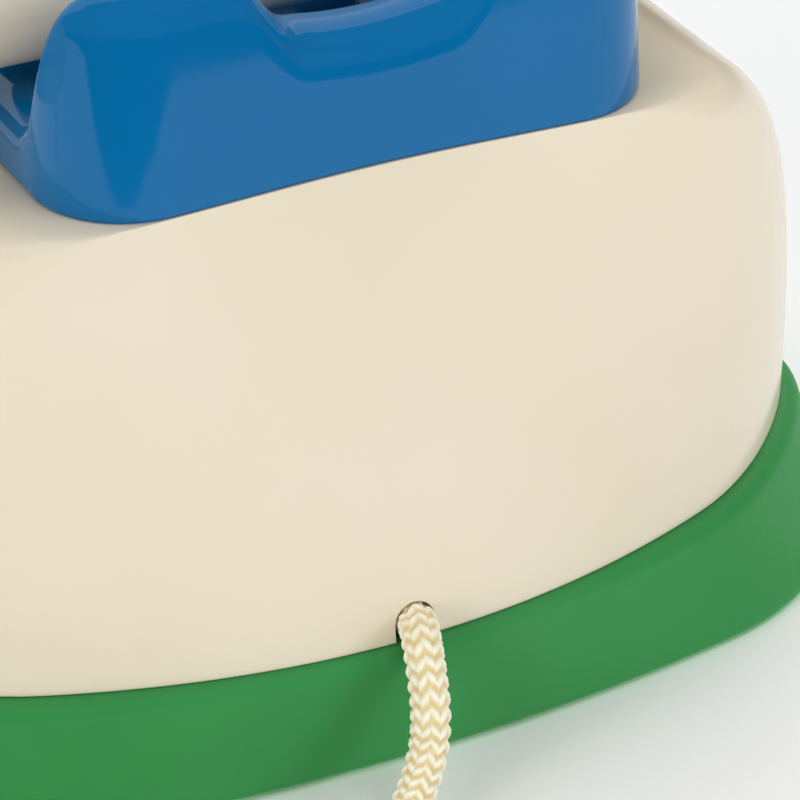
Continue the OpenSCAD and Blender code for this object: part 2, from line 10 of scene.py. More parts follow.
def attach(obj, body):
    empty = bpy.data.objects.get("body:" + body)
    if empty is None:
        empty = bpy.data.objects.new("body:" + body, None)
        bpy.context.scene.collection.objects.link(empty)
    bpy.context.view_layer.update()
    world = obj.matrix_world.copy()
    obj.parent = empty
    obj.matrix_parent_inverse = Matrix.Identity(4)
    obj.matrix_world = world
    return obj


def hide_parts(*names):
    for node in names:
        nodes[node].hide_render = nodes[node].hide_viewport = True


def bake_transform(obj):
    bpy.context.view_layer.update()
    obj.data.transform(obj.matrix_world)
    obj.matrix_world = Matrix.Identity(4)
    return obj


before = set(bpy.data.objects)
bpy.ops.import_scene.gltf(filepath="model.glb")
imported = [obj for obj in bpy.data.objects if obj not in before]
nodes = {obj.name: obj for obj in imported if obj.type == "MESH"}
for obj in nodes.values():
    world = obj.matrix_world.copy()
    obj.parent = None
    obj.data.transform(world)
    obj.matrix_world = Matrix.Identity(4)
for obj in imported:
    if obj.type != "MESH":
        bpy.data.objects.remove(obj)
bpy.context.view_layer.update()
scene = bpy.context.scene
MM = 0.001
SIDES = (-1, 1)
SMOOTH_LIMIT = math.radians(32)
WIRE_SMOOTH_LIMIT = math.radians(60)

# Camera of the photograph
PHOTO_AZIMUTH = math.radians(153.02)
PHOTO_ELEVATION = math.radians(30.62)
PHOTO_DISTANCE = 482
PHOTO_TARGET = (-0.51, 50.8, 46.38)
PHOTO_LENS = 186.67
PHOTO_SENSOR = 36
CLIP_NEAR = 10
CLIP_FAR = 50000

# Sizes repeated from the part's source
BASE_W = 154
BASE_D = 116
BASE_H = 16.3
BASE_CORNER = 30
BASE_BOW = 10.5
BASE_LEAN = 2.4
BASE_SHOULDER = 1.8
BASE_INSET = 4.8
BASE_FLOOR = 2.5
FLOOR_FILLET = 2
BASE_SCREW_X = 65
BASE_SCREW_Y = 20
SCREW_WELL_R = 3.1
HOUSING_H = 59.2
HOUSING_WALL = 2.5
SIDE_WALL = 2.2
HOUSING_BOW = 24
FRONT_BOW = 8
REAR_LEAN = 8.2
SHOULDER_POWER = 0.3
NOTCH_W = 5.6
NOTCH_SINK = 0.2
CRADLE_W = 76.5
CRADLE_D = 52
CRADLE_CORNER = 12
CRADLE_LEAN = 1.2
CRADLE_ROUND = 5
CRADLE_WALL = 2.5
EAR_H = 26
VALLEY_H = 18.4
VALLEY_W = 16
VALLEY_CLIMB = 11
TROUGH_H = 8
TROUGH_CLIMB = 11
TROUGH_W = 41
BUTTON_R = 3.5
BUTTON_PITCH = 26
BUTTON_RISE = 2
BUTTON_GAP = 0.15
SPRING_LEN = 12
SPRING_R = 4
SPRING_WIRE = 0.5
SPRING_TURNS = 6
SPRING_BOTTOM_DROP = 9.5
HANDLE_R = 9
HANDLE_GAP = 0.3
CUP_R = 19
CUP_X = 66
CUP_SEAT_RISE = 0.8
HANDSET_SCREW_X = 36
HANDSET_SCREW_SEAT = 4
CORD_D = 5
CORD_FLOOR_GAP = 0.2
CORD_SIDE_GAP = 17
SLEEVE_WALL = 1.5
SLEEVE_GAP = 0.05
SLEEVE_BORE_START = 6
RECESS_R = 33
RECESS_DEPTH = 3
PAN_R = 36.5
PAN_BACK = -6
PAN_FRONT = -2
PLATE_TOP = -1.4
SHAFT_HOLE_R = 4.05
FINGER_PITCH_R = 23.6
FINGER_COUNT = 10
FINGER_STEP = 30
STOP_ANGLE = math.radians(-30)
STOP_R = 36
STOP_HOLE_R = 1.85
STOP_HOLE_Z = -2.4

SEAM_Z = BASE_H + HOUSING_H
HOUSING_REAR = BASE_D / 2 - BASE_SHOULDER
HOUSING_HALF = BASE_W / 2 - BASE_LEAN - BASE_SHOULDER
CRADLE_REAR = HOUSING_REAR - REAR_LEAN
CRADLE_FRONT = CRADLE_REAR - CRADLE_D
CRADLE_Y = (CRADLE_REAR + CRADLE_FRONT) / 2
FRONT_RUN = CRADLE_FRONT + HOUSING_REAR
DIAL_TILT = math.atan2(HOUSING_H, FRONT_RUN)
DIAL_Y = CRADLE_FRONT - FRONT_RUN / 2
DIAL_Z = SEAM_Z - HOUSING_H / 2
NOTCH_Z = BASE_H + NOTCH_W / 2 - NOTCH_SINK
BUTTON_TOP = SEAM_Z + TROUGH_H + BUTTON_RISE
HANDLE_Z = BUTTON_TOP + HANDLE_GAP + HANDLE_R
CUP_SEAT_Z = HANDLE_Z - HANDLE_R + CUP_SEAT_RISE
HANDSET_TIP = CUP_X + CUP_R
SLEEVE_R = CORD_D / 2 + SLEEVE_WALL
CORD_REST = CORD_D / 2 + CORD_FLOOR_GAP
CORD_SIDE = HANDSET_TIP + CORD_SIDE_GAP

# Finish of the edges, which only the looks need
FOOT_ROUND = 2.4
# Painted highlight along the base's foot, for the floor's light on its rounding: its height and half width
FOOT_HIGHLIGHT_Z = 0.6
FOOT_HIGHLIGHT_HALF = 0.47
SEAM_GAP = 0.26
SEAM_EDGE = 0.2
SEAM_EDGE_BEND = 0.3
SEAM_TONGUE = 0.35
TONGUE_GAP = 0.02
SEAM_ARCH = 0.83
SEAM_ARCH_HALF = 36
SEAM_ARCH_RUN = 12
SEAM_ARCH_FADE = 0.25
SEAM_SINK = 0.3
VALLEY_SAG = 1.1
VALLEY_SAG_ROUND = 0.6
LIP_R = 0.5
LIP_CLEAR = 1.5
NOTCH_LIP = 0.3
NOTCH_DROP = 0.35
NOTCH_TRIM = 0.2
NOTCH_REACH = 16
NOTCH_MOUTH = 1
NOTCH_FOOT = 2
RECESS_LIP = ((0, -1.6), (0.25, -1.1), (0.8, -0.7), (2.6, 0.4))
RECESS_CLEAR = 20
OVERCUT = 4

# Levels of the housing's rings, as shares of its height, crowded at the round shoulder
SHOULDER_LEVEL_ROOT = 0.85
WALL_LEVEL_START = 0.63

# Rings of the cradle: least corner and heights, insets of its inside and of its middle
CRADLE_CORNER_MIN = 0.6
CRADLE_WALL_MIN = 0.6
CRADLE_ROOF_MIN = 0.8
CRADLE_TOP_MIN = 1.4
CRADLE_INNER_INSETS = (22.5, 20, 17, 14, 11, 8, 5, 2, 0)
CRADLE_MIDDLE = 25.4

# Steps of the spring's mesh and the gap that keeps its ends off the bracket and the hook
COIL_STEPS = 24
WIRE_STEPS = 8
SPRING_END_GAP = 0.05

# Roundness of the handset and the turn of its first and last ring round a cup
CUP_BLEND = 4
CUP_ONSET = 1.4
CUP_SQUARE = 0.75
UNDER_FALL = 0.1
TOP_FALL = 0.35
CUP_FIRST_RING = -86
CUP_LAST_RING = 88

# Braid of the cord
CORD_STEP = 0.25
LEGS = 12
LEG_STEPS = 7
LEG_FLAT = 2.5
LEG_POWER = 0.6
LEG_EDGE = 0.35
PLAIT_PITCH = 1.8
PLAIT_STEPS = 8
PLAIT_DEPTH = 0.46
PLAIT_POWER = 1.3
PLAIT_SLANT = 0.46
PLAIT_SHIFT = 0.2
PLAIT_TURN = math.radians(-21)

# Numbers on the dial
DIGIT_SIZE = 7
DIGIT_THICK = 0.06
DIGIT_LIFT = 0.05

# Materials, with noise scales per metre and depths in metres
CLOUD_SCALE = 22
SMEAR_SCALE = 60
GRAIN_SCALE = 900
GRAIN_DEPTH = 0.0004
PLASTIC_IOR = 1.48
RAMP_START = 0.3
RAMP_END = 0.7
STREAK_SCALE = 400
TARNISH_SCALE = 90
YARN_SCALE = 900
YARN_UNEVEN = 0.7
YARN_SHEEN = 0.4
# Span of the cord's painted groove shade and ridge highlight
SHADE_RAMP_START = 0.3
SHADE_RAMP_END = 1.3
FIBRE_SCALE = 2600
FIBRE_STRENGTH = 0.35
FIBRE_DEPTH = 0.0002
FLOOR_CLOUD_SCALE = 6
FLOOR_ROUGHNESS = 0.7

# Stage, with lights in metres and watts
FLOOR_HALF = 3000
CARD_LIFT = 1
CARD_EDGE = ((-FLOOR_HALF, 272), (-20, 264), (55, 250), (150, 203), (500, 30), (FLOOR_HALF, 30))
SKY_COLOUR = (0.95, 0.97, 1, 1)
SKY_STRENGTH = 0.21
FLOOR_AIM = (0, 0, 0)
PART_AIM = (0, 0.03, 0.05)
LIGHTS = (
    ("overhead", (0, -0.75, 1), FLOOR_AIM, (3, 1.7), 18, True),
    ("key", (-0.35, 0.5, 1.15), PART_AIM, (0.7, 0.7), 4, False),
    ("right", (-0.7, 0.9, 0.4), PART_AIM, (0.5, 0.5), 4.2, False),
    ("left", (1.2, 0.6, 0.4), PART_AIM, (0.6, 0.6), 8, False),
)


# Route of the cord, as in the part's source
def cord_route():
    leaving = [(0, -2.6, -0.3), (0, 0.2, -0.3), (0.8, 2.6, -0.5), (1.6, 5, -1.4), (2.5, 7.8, -3.7)]
    falling = [(3.1, 9.6, 0.62), (4, 11, 0.41), (6, 12.8, 0.22), (8.8, 15.2, 0.09), (12.4, 18.4, 0.02)]
    lying = [(0.17, 21.3), (0.24, 24.3), (0.35, 26.8), (0.49, 26.8), (0.63, 23.3), (0.755, 15.8),
             (0.863, 4.8), (0.941, -8.2)]
    rising = [(-1.5, 14, 0.02), (0, 6, 0.075), (0.3, 2, 0.165), (0.2, 0.4, 0.316), (0, 0, 0.49),
              (-0.2, 0, 0.66), (-0.4, 0, 0.81), (-1.2, 0, 0.9), (-3.4, 0, 0.96), (-6, 0, 0.99),
              (-8.4, 0, 1), (-11, 0, 1)]
    points = [(x, HOUSING_REAR + y, NOTCH_Z + z) for x, y, z in leaving]
    points += [(x, HOUSING_REAR + y, CORD_REST + z * (NOTCH_Z - CORD_REST)) for x, y, z in falling]
    points += [(x * CORD_SIDE, HOUSING_REAR + y, CORD_REST) for x, y in lying]
    points += [(CORD_SIDE + x, CRADLE_Y + y, CORD_REST + z * (HANDLE_Z - CORD_REST)) for x, y, z in rising]
    return np.array(points, float)


def make_camera():
    back = Vector((
        math.sin(PHOTO_AZIMUTH) * math.cos(PHOTO_ELEVATION),
        -math.cos(PHOTO_AZIMUTH) * math.cos(PHOTO_ELEVATION),
        math.sin(PHOTO_ELEVATION),
    ))
    data = bpy.data.cameras.new("photo_camera")
    data.sensor_width = PHOTO_SENSOR
    data.lens = PHOTO_LENS
    data.clip_start = CLIP_NEAR * MM
    data.clip_end = CLIP_FAR * MM
    camera = bpy.data.objects.new("photo_camera", data)
    camera.location = Vector(PHOTO_TARGET) * MM + back * (PHOTO_DISTANCE * MM)
    camera.rotation_mode = "QUATERNION"
    camera.rotation_quaternion = (-back).to_track_quat("-Z", "Y")
    scene.collection.objects.link(camera)
    scene.camera = camera


# Mesh helpers
def new_object(name, vertices, faces, material=None):
    mesh = bpy.data.meshes.new(name)
    mesh.from_pydata((np.asarray(vertices, float) * MM).tolist(), [], faces)
    mesh.validate()
    mesh.update()
    piece = bpy.data.objects.new(name, mesh)
    scene.collection.objects.link(piece)
    if material:
        mesh.materials.append(material)
    return piece


def shade(piece, limit=SMOOTH_LIMIT):
    mesh = piece.data
    mesh.polygons.foreach_set("use_smooth", [True] * len(mesh.polygons))
    mesh.set_sharp_from_angle(angle=limit)
    mesh.update()


def skin(rings):
    """Closed skin over rings of equal count, with a fan over each end."""
    count = len(rings[0])
    last = len(rings) - 1
    vertices = np.concatenate([*rings, [np.mean(rings[0], axis=0)], [np.mean(rings[-1], axis=0)]])
    faces = []
    for k in range(last):
        for i in range(count):
            j = (i + 1) % count
            faces.append((k * count + i, k * count + j, (k + 1) * count + j, (k + 1) * count + i))
    hub = count * (last + 1)
    for i in range(count):
        j = (i + 1) % count
        faces.append((j, i, hub))
        faces.append((last * count + i, last * count + j, hub + 1))
    return vertices, faces


def revolve(profile, steps=96):
    """Solid of a closed profile of radius and height, turned about Z."""
    turns = np.linspace(0, 2 * math.pi, steps, endpoint=False)
    rings = []
    for radius, height in profile:
        level = np.full(steps, float(height))
        rings.append(np.stack([radius * np.cos(turns), radius * np.sin(turns), level], axis=1))
    return skin(rings)


def shifted(solid, x, y):
    vertices, faces = solid
    return vertices + np.array([x, y, 0]), faces


def placed(solid, matrix):
    vertices, faces = solid
    rows = np.asarray(matrix, float)
    return vertices @ rows[:3, :3].T + rows[:3, 3], faces


def dial_matrix():
    return Matrix.Translation((0, DIAL_Y, DIAL_Z)) @ Matrix.Rotation(DIAL_TILT, 4, "X")


def carve(piece, tools, operation="DIFFERENCE"):
    """Applies solids to a piece one after another and removes them."""
    for vertices, faces in tools:
        tool = new_object("tool", vertices, faces)
        modifier = piece.modifiers.new("carve", "BOOLEAN")
        modifier.operation = operation
        modifier.solver = "EXACT"
        modifier.object = tool
        bpy.context.view_layer.update()
        graph = bpy.context.evaluated_depsgraph_get()
        result = bpy.data.meshes.new_from_object(piece.evaluated_get(graph))
        piece.modifiers.clear()
        old = piece.data
        piece.data = result
        bpy.data.meshes.remove(old)
        tool_mesh = tool.data
        bpy.data.objects.remove(tool)
        bpy.data.meshes.remove(tool_mesh)


# Forms of the part's source, with finer steps
def ease(value):
    c = np.clip(value, 0, 1)
    return c * c * c * (c * (6 * c - 15) + 10)


def outline(half_w, rear, front, corner, bow_rear, bow_front, arc=22, long=90, short=36):
    """Rounded rectangle seen from above, whose rear and front bow out between the corners."""
    x = half_w - corner
    high = rear - corner
    low = front + corner

    def corner_arc(cx, cy, start):
        turn = np.linspace(start, start + math.pi / 2, arc + 1)
        return np.stack([cx + corner * np.cos(turn), cy + corner * np.sin(turn)], axis=1)

    def between(a, b, steps):
        share = np.arange(1, steps)[:, None] / steps
        return np.array(a) + (np.array(b) - np.array(a)) * share

    points = np.concatenate([
        corner_arc(x, high, 0),
        between((x, rear), (-x, rear), long),
        corner_arc(-x, high, math.pi / 2),
        between((-half_w, high), (-half_w, low), short),
        corner_arc(-x, low, math.pi),
        between((-x, front), (x, front), long),
        corner_arc(x, low, 1.5 * math.pi),
        between((half_w, low), (half_w, high), short),
    ])
    q = (points[:, 1] - (rear + front) / 2) / ((rear - front) / 2)
    bow = np.where(q > 0, bow_rear, bow_front)
    points[:, 1] -= q * bow * (points[:, 0] / half_w) ** 2
    return points


def at_level(points, z):
    return np.column_stack([points, np.broadcast_to(z, len(points))])


def base_ring(z, inset):
    share = z / BASE_H
    return at_level(outline(
        BASE_W / 2 - BASE_LEAN * share - inset, BASE_D / 2 - inset, inset - BASE_D / 2,
        BASE_CORNER - inset, BASE_BOW + (HOUSING_BOW - BASE_BOW) * share, FRONT_BOW), z)


def housing_half_at(share):
    return CRADLE_W / 2 + (HOUSING_HALF - CRADLE_W / 2) * share ** SHOULDER_POWER


def seam_arch(points):
    across = np.clip(np.abs(points[:, 0]) / SEAM_ARCH_HALF, 0, 1)
    behind = ease((points[:, 1] - CRADLE_Y) / SEAM_ARCH_RUN)
    return SEAM_ARCH * np.cos(across * math.pi / 2) ** 2 * behind - SEAM_SINK


def housing_ring(share, inset=0.0, drop=0.0):
    """Ring of the housing at a share of its height, counted from the seam down."""
    points = outline(
        housing_half_at(share) - inset,
        CRADLE_REAR + REAR_LEAN * share - inset,
        CRADLE_FRONT - FRONT_RUN * share + inset,
        CRADLE_CORNER + (BASE_CORNER - BASE_SHOULDER - CRADLE_CORNER) * share - inset / 2,
        HOUSING_BOW * share, FRONT_BOW * share)
    lift = seam_arch(points) * (1 - ease(share / SEAM_ARCH_FADE))
    return at_level(points, SEAM_Z - HOUSING_H * share - drop + lift)


def cradle_top(points):
    valley = 1 - ease((np.abs(points[:, 0]) - VALLEY_W / 2) / VALLEY_CLIMB)
    sag = VALLEY_SAG * (1 - VALLEY_SAG_ROUND * np.clip(2 * points[:, 0] / VALLEY_W, -1, 1) ** 2)
    rim = EAR_H - (EAR_H - VALLEY_H + sag) * valley
    climb = ease(1 + (np.abs(points[:, 1] - CRADLE_Y) - TROUGH_W / 2) / TROUGH_CLIMB)
    return SEAM_Z + TROUGH_H + (rim - TROUGH_H) * climb


def cradle_outline(inset):
    return outline(
        CRADLE_W / 2 - inset, CRADLE_REAR - inset, CRADLE_FRONT + inset,
        max(CRADLE_CORNER - inset, CRADLE_CORNER_MIN), 0, 0, long=70, short=40)


def leaned(ring):
    lean = CRADLE_LEAN * (ring[:, 2] - SEAM_Z) / EAR_H
    return np.column_stack([
        ring[:, 0] * (1 - 2 * lean / CRADLE_W),
        CRADLE_Y + (ring[:, 1] - CRADLE_Y) * (1 - 2 * lean / CRADLE_D),
        ring[:, 2]])


def round_drop(inset):
    c = max(CRADLE_ROUND - inset, 0)
    return CRADLE_ROUND - math.sqrt(CRADLE_ROUND ** 2 - c * c)


def make_base(material):
    quarter = np.radians(np.linspace(0, 90, 9))
    rings = []
    for a in quarter:
        rings.append(base_ring(FOOT_ROUND * (1 - math.cos(a)), FOOT_ROUND * (1 - math.sin(a))))
    for z in np.linspace(FOOT_ROUND, BASE_H - BASE_SHOULDER, 14)[1:-1]:
        rings.append(base_ring(z, 0))
    for a in quarter:
        drop = BASE_SHOULDER * (1 - math.sin(a))
        rings.append(base_ring(BASE_H - drop, BASE_SHOULDER * (1 - math.cos(a))))
    rings.append(base_ring(BASE_H, BASE_INSET))
    rings.append(base_ring(BASE_FLOOR + FLOOR_FILLET, BASE_INSET))
    rings.append(base_ring(BASE_FLOOR, BASE_INSET + FLOOR_FILLET))
    piece = new_object("base", *skin(rings), material)
    well = revolve([(SCREW_WELL_R, -OVERCUT), (SCREW_WELL_R, BASE_FLOOR)], 48)
    carve(piece, [shifted(well, sx * BASE_SCREW_X, sy * BASE_SCREW_Y) for sx in SIDES for sy in SIDES])
    shade(piece)
    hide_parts("base_tray")
    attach(piece, "telephone")


def notch_tool():
    """Arched cutter whose mouth flares at the rear face, so the edge of the notch is rounded."""
    depths = [(-NOTCH_REACH, 0)]
    bend = NOTCH_LIP * math.sqrt(2)
    for a in np.radians(np.linspace(0, 45, 5)):
        depths.append((bend * math.sin(a) - NOTCH_LIP, bend * (1 - math.cos(a))))
    depths.append((depths[-1][0] + NOTCH_MOUTH, depths[-1][1] + NOTCH_MOUTH))
    turns = np.linspace(0, math.pi, 25)
    foot = BASE_H - NOTCH_FOOT
    rings = []
    for depth, flare in depths:
        half = NOTCH_W / 2 - NOTCH_TRIM + flare
        arch = np.stack([-half * np.cos(turns), NOTCH_Z - NOTCH_DROP + half * np.sin(turns)], axis=1)
        loop = np.concatenate([[(-half, foot)], arch, [(half, foot)]])
        share = (SEAM_Z - loop[:, 1]) / HOUSING_H
        face_y = CRADLE_REAR + REAR_LEAN * share
        rings.append(np.column_stack([loop[:, 0], face_y + depth, loop[:, 1]]))
    return skin(rings)


def make_body(material):
    shoulder_levels = np.linspace(0, SHOULDER_LEVEL_ROOT, 56) ** 3
    wall_levels = np.linspace(WALL_LEVEL_START, 1, 44)
    levels = np.sort(np.concatenate([shoulder_levels, wall_levels]))
    lower_rim = (HOUSING_H - HOUSING_WALL) / HOUSING_H
    inside = [housing_ring(s, SIDE_WALL, HOUSING_WALL) for s in levels[::4] if s < lower_rim]
    inside.append(housing_ring(lower_rim, SIDE_WALL, HOUSING_WALL))
    foot = []
    for a in np.radians(np.linspace(0, 90, 6)):
        rise = LIP_R * (1 - math.cos(a))
        foot.append(housing_ring(1 - rise / HOUSING_H, LIP_R * (1 - math.sin(a))))
    above_lip = 1 - LIP_CLEAR * LIP_R / HOUSING_H
    outside = [housing_ring(s) for s in levels[::-1] if s < above_lip]
    piece = new_object("body", *skin(inside + foot + outside), material)
    dial = dial_matrix()
    pan = revolve([(PAN_R, PAN_BACK), (PAN_R, PAN_FRONT)])
    carve(piece, [placed(pan, dial)], "UNION")
    lip = [(RECESS_R + reach, height) for reach, height in RECESS_LIP]
    recess = revolve([(RECESS_R, -RECESS_DEPTH), *lip, (lip[-1][0], RECESS_CLEAR)], 144)
    shaft = revolve([(SHAFT_HOLE_R, PAN_BACK - OVERCUT), (SHAFT_HOLE_R, 0)], 64)
    stop = revolve([(STOP_HOLE_R, STOP_HOLE_Z), (STOP_HOLE_R, OVERCUT)], 48)
    stop_place = Matrix.Translation((STOP_R * math.cos(STOP_ANGLE), STOP_R * math.sin(STOP_ANGLE), 0))
    carve(piece, [placed(recess, dial), placed(shaft, dial), placed(stop, dial @ stop_place), notch_tool()])
    shade(piece)
    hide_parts("body_shell")
    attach(piece, "telephone")


def make_cradle(material):
    rings = []
    for inset in CRADLE_INNER_INSETS:
        points = cradle_outline(CRADLE_WALL + inset)
        roof = cradle_top(points) - CRADLE_WALL - round_drop(inset)
        rings.append(at_level(points, np.maximum(roof, SEAM_Z + CRADLE_ROOF_MIN)))
    tongue = TONGUE_GAP - SEAM_GAP
    bend = SEAM_EDGE_BEND * SEAM_EDGE
    lower_rim = (
        (CRADLE_WALL, tongue), (SEAM_TONGUE, tongue), (SEAM_TONGUE, 0),
        (SEAM_EDGE, 0), (bend, bend), (0, SEAM_EDGE),
    )
    for inset, rise in lower_rim:
        points = cradle_outline(inset)
        rings.append(at_level(points, SEAM_Z + SEAM_GAP + rise + seam_arch(points)))
    wall = cradle_outline(0)
    low = SEAM_Z + SEAM_GAP + SEAM_EDGE + seam_arch(wall)
    high = np.maximum(cradle_top(wall) - round_drop(0), low + CRADLE_WALL_MIN)
    for share in np.linspace(0, 1, 14)[1:-1]:
        rings.append(at_level(wall, low + (high - low) * share))
    rounding = [CRADLE_ROUND * (1 - math.cos(a)) for a in np.radians(np.linspace(0, 90, 14))]
    for inset in [*rounding, *np.linspace(CRADLE_ROUND, CRADLE_MIDDLE, 36)[1:]]:
        points = cradle_outline(inset)
        top = cradle_top(points) - round_drop(inset)
        rings.append(at_level(points, np.maximum(top, SEAM_Z + CRADLE_TOP_MIN)))
    piece = new_object("cradle", *skin([leaned(ring) for ring in rings]), material)
    hole_r = BUTTON_R + BUTTON_GAP
    hole = revolve([(hole_r, SEAM_Z - OVERCUT), (hole_r, BUTTON_TOP + OVERCUT)], 48)
    carve(piece, [shifted(hole, sx * BUTTON_PITCH / 2, CRADLE_Y) for sx in SIDES])
    shade(piece)
    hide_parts("cradle_housing")
    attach(piece, "telephone")


def make_hook_spring(material):
    """Coil whose foot stays on the bracket, made once at rest under the hook."""
    low = SEAM_Z - SPRING_BOTTOM_DROP
    turns = np.linspace(0, 2 * math.pi * SPRING_TURNS, SPRING_TURNS * COIL_STEPS + 1)
    around = np.linspace(0, 2 * math.pi, WIRE_STEPS, endpoint=False)
    slack = SPRING_WIRE + SPRING_END_GAP
    reach = SPRING_R + SPRING_WIRE * np.cos(around)
    rings = []
    for turn in turns:
        rise = low + slack + (SPRING_LEN - 2 * slack) * turn / turns[-1]
        rings.append(np.column_stack([
            reach * math.cos(turn), CRADLE_Y + reach * math.sin(turn), rise + SPRING_WIRE * np.sin(around)]))
    piece = new_object("coil", *skin(rings), material)
    shade(piece, WIRE_SMOOTH_LIMIT)
    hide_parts("hook_spring")
    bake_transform(piece)


# Handset, as two halves that meet in a fine groove
def blended(cup_half):
    return (HANDLE_R ** CUP_BLEND + cup_half ** CUP_BLEND) ** (1 / CUP_BLEND)


def handset_half(x):
    q = (abs(x) - CUP_X) / CUP_R
    disc = math.sqrt(max(0, 1 - q * q))
    return blended(CUP_R * disc) if q < 0 else blended(CUP_R) * disc


def handset_height(x, power):
    q = max(0, (abs(x) - CUP_X) / CUP_R)
    return HANDLE_R * max(0, 1 - q * q) ** power


def handset_ring(x, start, steps=40):
    """Half section at x, over half a turn from the start: 0 for the upper half, pi for the lower one."""
    half = handset_half(x)
    cup = float(ease((half - HANDLE_R) / (CUP_R - HANDLE_R) * CUP_ONSET))
    turn = np.linspace(start, start + math.pi, steps)
    below = start > 0
    power = 1 - CUP_SQUARE * cup if below else 1
    rise = handset_height(x, UNDER_FALL if below else TOP_FALL)
    cosine = np.sign(np.cos(turn)) * np.abs(np.cos(turn)) ** power
    sine = np.sign(np.sin(turn)) * np.abs(np.sin(turn)) ** power
    return np.column_stack([
        np.full(steps, x), CRADLE_Y + half * cosine, HANDLE_Z + rise * sine])


def handset_stations():
    angles = np.radians(np.linspace(CUP_FIRST_RING, CUP_LAST_RING, 44))
    handle = np.linspace(0, CUP_X - CUP_R, 18)[1:]
    side = np.concatenate([handle, CUP_X + CUP_R * np.sin(angles)])
    return np.concatenate([-side[::-1], [0], side])


def make_handset(material):
    seat = revolve([(CUP_R + OVERCUT, CUP_SEAT_Z - OVERCUT), (CUP_R + OVERCUT, CUP_SEAT_Z)])
    well_top = HANDLE_Z - HANDSET_SCREW_SEAT
    well = revolve([(SCREW_WELL_R, HANDLE_Z - HANDLE_R - OVERCUT), (SCREW_WELL_R, well_top)], 48)
    under_cuts = []
    for sx in SIDES:
        under_cuts.append(shifted(seat, sx * CUP_X, CRADLE_Y))
        under_cuts.append(shifted(well, sx * HANDSET_SCREW_X, CRADLE_Y))
    bore_r = SLEEVE_R + SLEEVE_GAP
    bore = revolve([(bore_r, CUP_X + SLEEVE_BORE_START), (bore_r, HANDSET_TIP + OVERCUT)], 64)
    along = Matrix.Translation((0, CRADLE_Y, HANDLE_Z)) @ Matrix.Rotation(math.pi / 2, 4, "Y")
    halves = (("handset_top", "handset_upper_shell", 0, []),
              ("handset_under", "handset_lower_shell", math.pi, under_cuts))
    for name, node, start, cuts in halves:
        rings = [handset_ring(x, start) for x in handset_stations()]
        piece = new_object(name, *skin(rings), material)
        carve(piece, [*cuts, placed(bore, along)])
        shade(piece)
        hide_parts(node)
        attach(piece, "handset")


# Braided cord
def at_run(places, run, rows):
    """Values of the rows at places along the run."""
    return np.stack([np.interp(places, run, rows[:, k]) for k in range(3)], axis=1)


def smooth_route(points, step):
    """Even points on a smooth curve through the route."""
    padded = np.concatenate([[2 * points[0] - points[1]], points, [2 * points[-1] - points[-2]]])
    curve = []
    for k in range(1, len(padded) - 2):
        a, b, c, d = padded[k - 1:k + 3]
        for t in np.linspace(0, 1, 40, endpoint=False):
            curve.append(0.5 * (2 * b + (c - a) * t + (2 * a - 5 * b + 4 * c - d) * t ** 2
                                + (3 * b - a - 3 * c + d) * t ** 3))
    curve.append(points[-1])
    curve = np.array(curve)
    run = np.concatenate([[0], np.cumsum(np.linalg.norm(np.diff(curve, axis=0), axis=1))])
    even = np.linspace(0, run[-1], int(round(run[-1] / step)) + 1)
    return at_run(even, run, curve), run[-1]


def carried_frames(path):
    """Directions along, across and over the path, carried on without a twist."""
    along = np.gradient(path, axis=0)
    along /= np.linalg.norm(along, axis=1)[:, None]
    across = np.zeros_like(along)
    side = np.array([1.0, 0, 0])
    for k, direction in enumerate(along):
        side = side - direction * (side @ direction)
        side = side / np.linalg.norm(side)
        across[k] = side
    return along, across, np.cross(along, across)


def make_cord(material):
    route = cord_route()
    path, length = smooth_route(route, CORD_STEP)
    along, across, over = carried_frames(path)
    run = np.linspace(0, length, len(path))
    sides = LEGS * LEG_STEPS
    column = np.arange(sides)
    leg = column // LEG_STEPS
    place = (column % LEG_STEPS + 0.5) / LEG_STEPS
    slant = np.where(leg % 2 == 0, place, 1 - place)
    shift = np.where(leg % 2 == 0, 0, PLAIT_SHIFT)
    turn = PLAIT_TURN + 2 * math.pi * (column + 0.5) / sides
    taper = np.clip(1 - np.abs(2 * place - 1) ** LEG_FLAT, 0, 1) ** LEG_POWER
    rows = int(length / PLAIT_PITCH * PLAIT_STEPS)
    vertices = []
    heights = []
    for r in range(rows + 1):
        phase = (r / PLAIT_STEPS + shift) % 1
        ridge = (0.5 - 0.5 * np.cos(2 * math.pi * phase)) ** PLAIT_POWER
        height = ridge * (LEG_EDGE + (1 - LEG_EDGE) * taper)
        radius = CORD_D / 2 - PLAIT_DEPTH * (1 - height)
        s = np.clip((r / PLAIT_STEPS + (slant - 0.5) * PLAIT_SLANT) * PLAIT_PITCH, 0, length)
        u = at_run(s, run, across) * np.cos(turn)[:, None]
        v = at_run(s, run, over) * np.sin(turn)[:, None]
        vertices.append(at_run(s, run, path) + radius[:, None] * (u + v))
        heights.append(height)
    piece = new_object("braided_cord", *skin(vertices), material)
    # Height of the braid, kept to paint shade in its grooves and a highlight on its ridges
    ridge_shade = piece.data.attributes.new("ridge_shade", "FLOAT", "POINT")
    ridge_shade.data.foreach_set("value", np.concatenate([*heights, [0, 0]]).astype(np.float32))
    piece.data.polygons.foreach_set("use_smooth", [True] * len(piece.data.polygons))
    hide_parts("handset_cord")
    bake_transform(piece)


# Materials
def linear(red, green, blue):
    """Linear colour of an 8-bit screen colour."""
    values = []
    for value in (red, green, blue):
        c = value / 255
        values.append(c / 12.92 if c <= 0.04045 else ((c + 0.055) / 1.055) ** 2.4)
    return (*values, 1)


def shader(name):
    material = bpy.data.materials.new(name)
    material.use_nodes = True
    tree = material.node_tree
    return material, tree, tree.nodes["Principled BSDF"]


